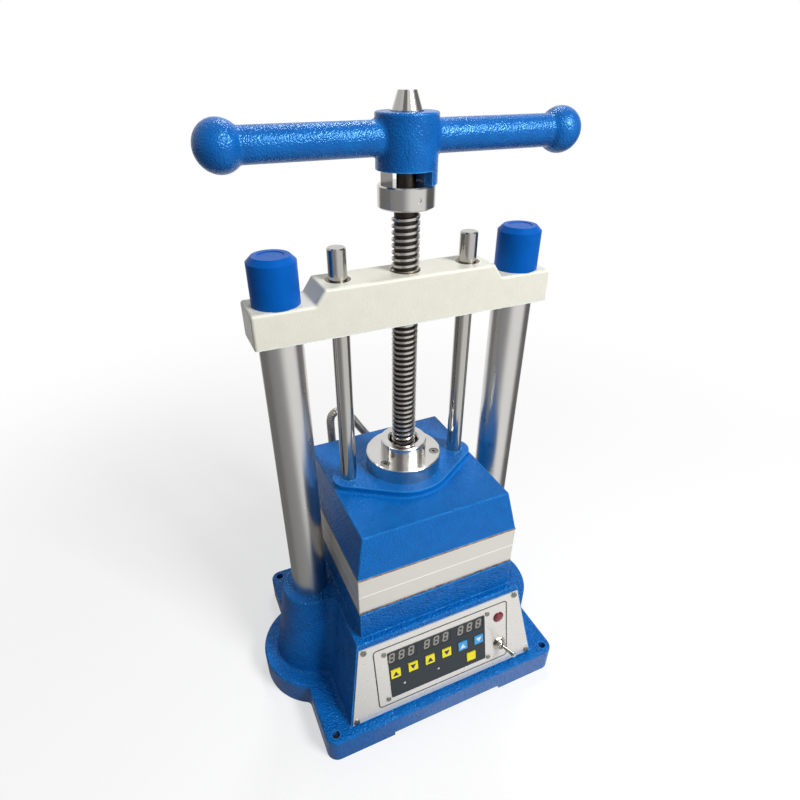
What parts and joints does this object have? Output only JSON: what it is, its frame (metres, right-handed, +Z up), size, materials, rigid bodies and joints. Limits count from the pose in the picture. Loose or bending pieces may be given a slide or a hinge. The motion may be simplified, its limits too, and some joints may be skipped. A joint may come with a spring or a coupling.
{
  "type": "rubber mould vulcanizer",
  "caption": "Bench press with two heated platens under a sliding head, a lead screw turned by a ball-ended handle, and a sloping control panel",
  "frame": {"origin": "on the floor, at the middle of the four holes in the base", "axes": "+X to the right of someone who faces the panel, -Y towards them, +Z up along the screw"},
  "size_m": [0.402, 0.2987, 0.6858],
  "materials": {
    "blue_paint": "smooth glossy enamel over a rough casting",
    "cream_paint": "satin enamel",
    "ground_steel": "turned and ground, light oil",
    "polished_steel": "polished",
    "thread_steel": "cut thread, greased",
    "platen_metal": "ground, fine lines",
    "insulation_board": "pressed fibre board",
    "cap_plastic": "moulded, satin",
    "panel_steel": "satin sheet with a printed line",
    "membrane_film": "printed film",
    "display_window": "dark tinted window",
    "yellow_key": "printed key cap",
    "blue_key": "printed key cap",
    "red_lens": "faceted clear red",
    "led_resin": "cast resin",
    "black_plastic": "moulded",
    "board_laminate": "coated laminate",
    "zinc_steel": "zinc plated",
    "bronze": "turned",
    "conduit_metal": "rolled strip",
    "transformer_iron": "varnished plates",
    "relay_plastic": "moulded"
  },
  "bodies": {
    "base": {"base_casting": "blue_paint", "bottom_cover": "zinc_steel", "case_screws": "zinc_steel", "lower_insulation": "insulation_board", "lower_platen": "platen_metal", "lower_heaters": "zinc_steel", "lower_sensor": "zinc_steel", "lower_platen_screws": "zinc_steel", "left_column": "ground_steel", "right_column": "ground_steel", "column_foot_nuts": "zinc_steel", "column_top_nuts": "zinc_steel", "column_caps": "cap_plastic", "cross_beam": "cream_paint", "screw_nut": "bronze", "guide_bushes": "bronze", "control_panel": "panel_steel", "display_membrane": "membrane_film", "membrane_screws": "zinc_steel", "board_spacers": "zinc_steel", "control_board": "board_laminate", "number_displays": "display_window", "indicator_leds": "led_resin", "transformer": "transformer_iron", "heater_relays": "relay_plastic", "terminal_block": "relay_plastic", "base_hose_gland": "conduit_metal", "conduit_hose": "conduit_metal", "mains_gland": "black_plastic", "fuse_holder": "black_plastic", "lamp_holder": "black_plastic", "lamp_lens": "red_lens", "toggle_body": "polished_steel", "toggle_nut": "polished_steel"},
    "head": {"head_casting": "blue_paint", "upper_insulation": "insulation_board", "upper_platen": "platen_metal", "upper_heaters": "zinc_steel", "upper_sensor": "zinc_steel", "upper_platen_screws": "zinc_steel", "left_guide_rod": "polished_steel", "right_guide_rod": "polished_steel", "thrust_bearing": "ground_steel", "thrust_cap": "ground_steel", "thrust_cap_screws": "ground_steel", "head_hose_gland": "conduit_metal"},
    "screw": {"lead_screw": "thread_steel", "drive_collar": "ground_steel", "collar_pins": "ground_steel", "tip_nut": "polished_steel"},
    "handle": {"handle_casting": "blue_paint", "hub_bush": "bronze"},
    "lever": {"toggle_lever": "polished_steel"},
    "upper_heat_up_key_cap": {"upper_heat_up_key": "yellow_key"},
    "upper_heat_down_key_cap": {"upper_heat_down_key": "yellow_key"},
    "lower_heat_up_key_cap": {"lower_heat_up_key": "yellow_key"},
    "lower_heat_down_key_cap": {"lower_heat_down_key": "yellow_key"},
    "time_up_key_cap": {"time_up_key": "blue_key"},
    "time_down_key_cap": {"time_down_key": "blue_key"},
    "start_key_cap": {"start_key": "yellow_key"}
  },
  "joints": [
    {"name": "head_lift", "type": "slide", "parent": "base", "child": "head", "axis": [0, 0, 1], "range_m": [0, 0.12], "deforming": ["conduit_hose"]},
    {"name": "screw_turn", "type": "hinge", "parent": "head", "child": "screw", "pos_m": [0, 0.0035, 0.6], "axis": [0, 0, 1], "range_deg": [0, 7200]},
    {"name": "handle_swing", "type": "hinge", "parent": "screw", "child": "handle", "pos_m": [0, 0.0035, 0.651], "axis": [0, 0, 1], "range_deg": [-131, 75]},
    {"name": "power_toggle", "type": "hinge", "parent": "base", "child": "lever", "pos_m": [0.0796, -0.12966, 0.07439], "axis": [0, -0.1977, -0.9803], "range_deg": [0, 24]},
    {"name": "upper_heat_up_key_press", "type": "slide", "parent": "base", "child": "upper_heat_up_key_cap", "axis": [0, 0.9803, -0.1977], "range_m": [0, 0.0005], "stiffness_N_per_m": 800, "springref_m": -0.0006},
    {"name": "upper_heat_down_key_press", "type": "slide", "parent": "base", "child": "upper_heat_down_key_cap", "axis": [0, 0.9803, -0.1977], "range_m": [0, 0.0005], "stiffness_N_per_m": 800, "springref_m": -0.0006},
    {"name": "lower_heat_up_key_press", "type": "slide", "parent": "base", "child": "lower_heat_up_key_cap", "axis": [0, 0.9803, -0.1977], "range_m": [0, 0.0005], "stiffness_N_per_m": 800, "springref_m": -0.0006},
    {"name": "lower_heat_down_key_press", "type": "slide", "parent": "base", "child": "lower_heat_down_key_cap", "axis": [0, 0.9803, -0.1977], "range_m": [0, 0.0005], "stiffness_N_per_m": 800, "springref_m": -0.0006},
    {"name": "time_up_key_press", "type": "slide", "parent": "base", "child": "time_up_key_cap", "axis": [0, 0.9803, -0.1977], "range_m": [0, 0.0005], "stiffness_N_per_m": 800, "springref_m": -0.0006},
    {"name": "time_down_key_press", "type": "slide", "parent": "base", "child": "time_down_key_cap", "axis": [0, 0.9803, -0.1977], "range_m": [0, 0.0005], "stiffness_N_per_m": 800, "springref_m": -0.0006},
    {"name": "start_key_press", "type": "slide", "parent": "base", "child": "start_key_cap", "axis": [0, 0.9803, -0.1977], "range_m": [0, 0.0005], "stiffness_N_per_m": 800, "springref_m": -0.0006}
  ],
  "couplings": [
    {"joint": "screw_turn", "follows": "head_lift", "rad_per_m": 1047.2}
  ]
}
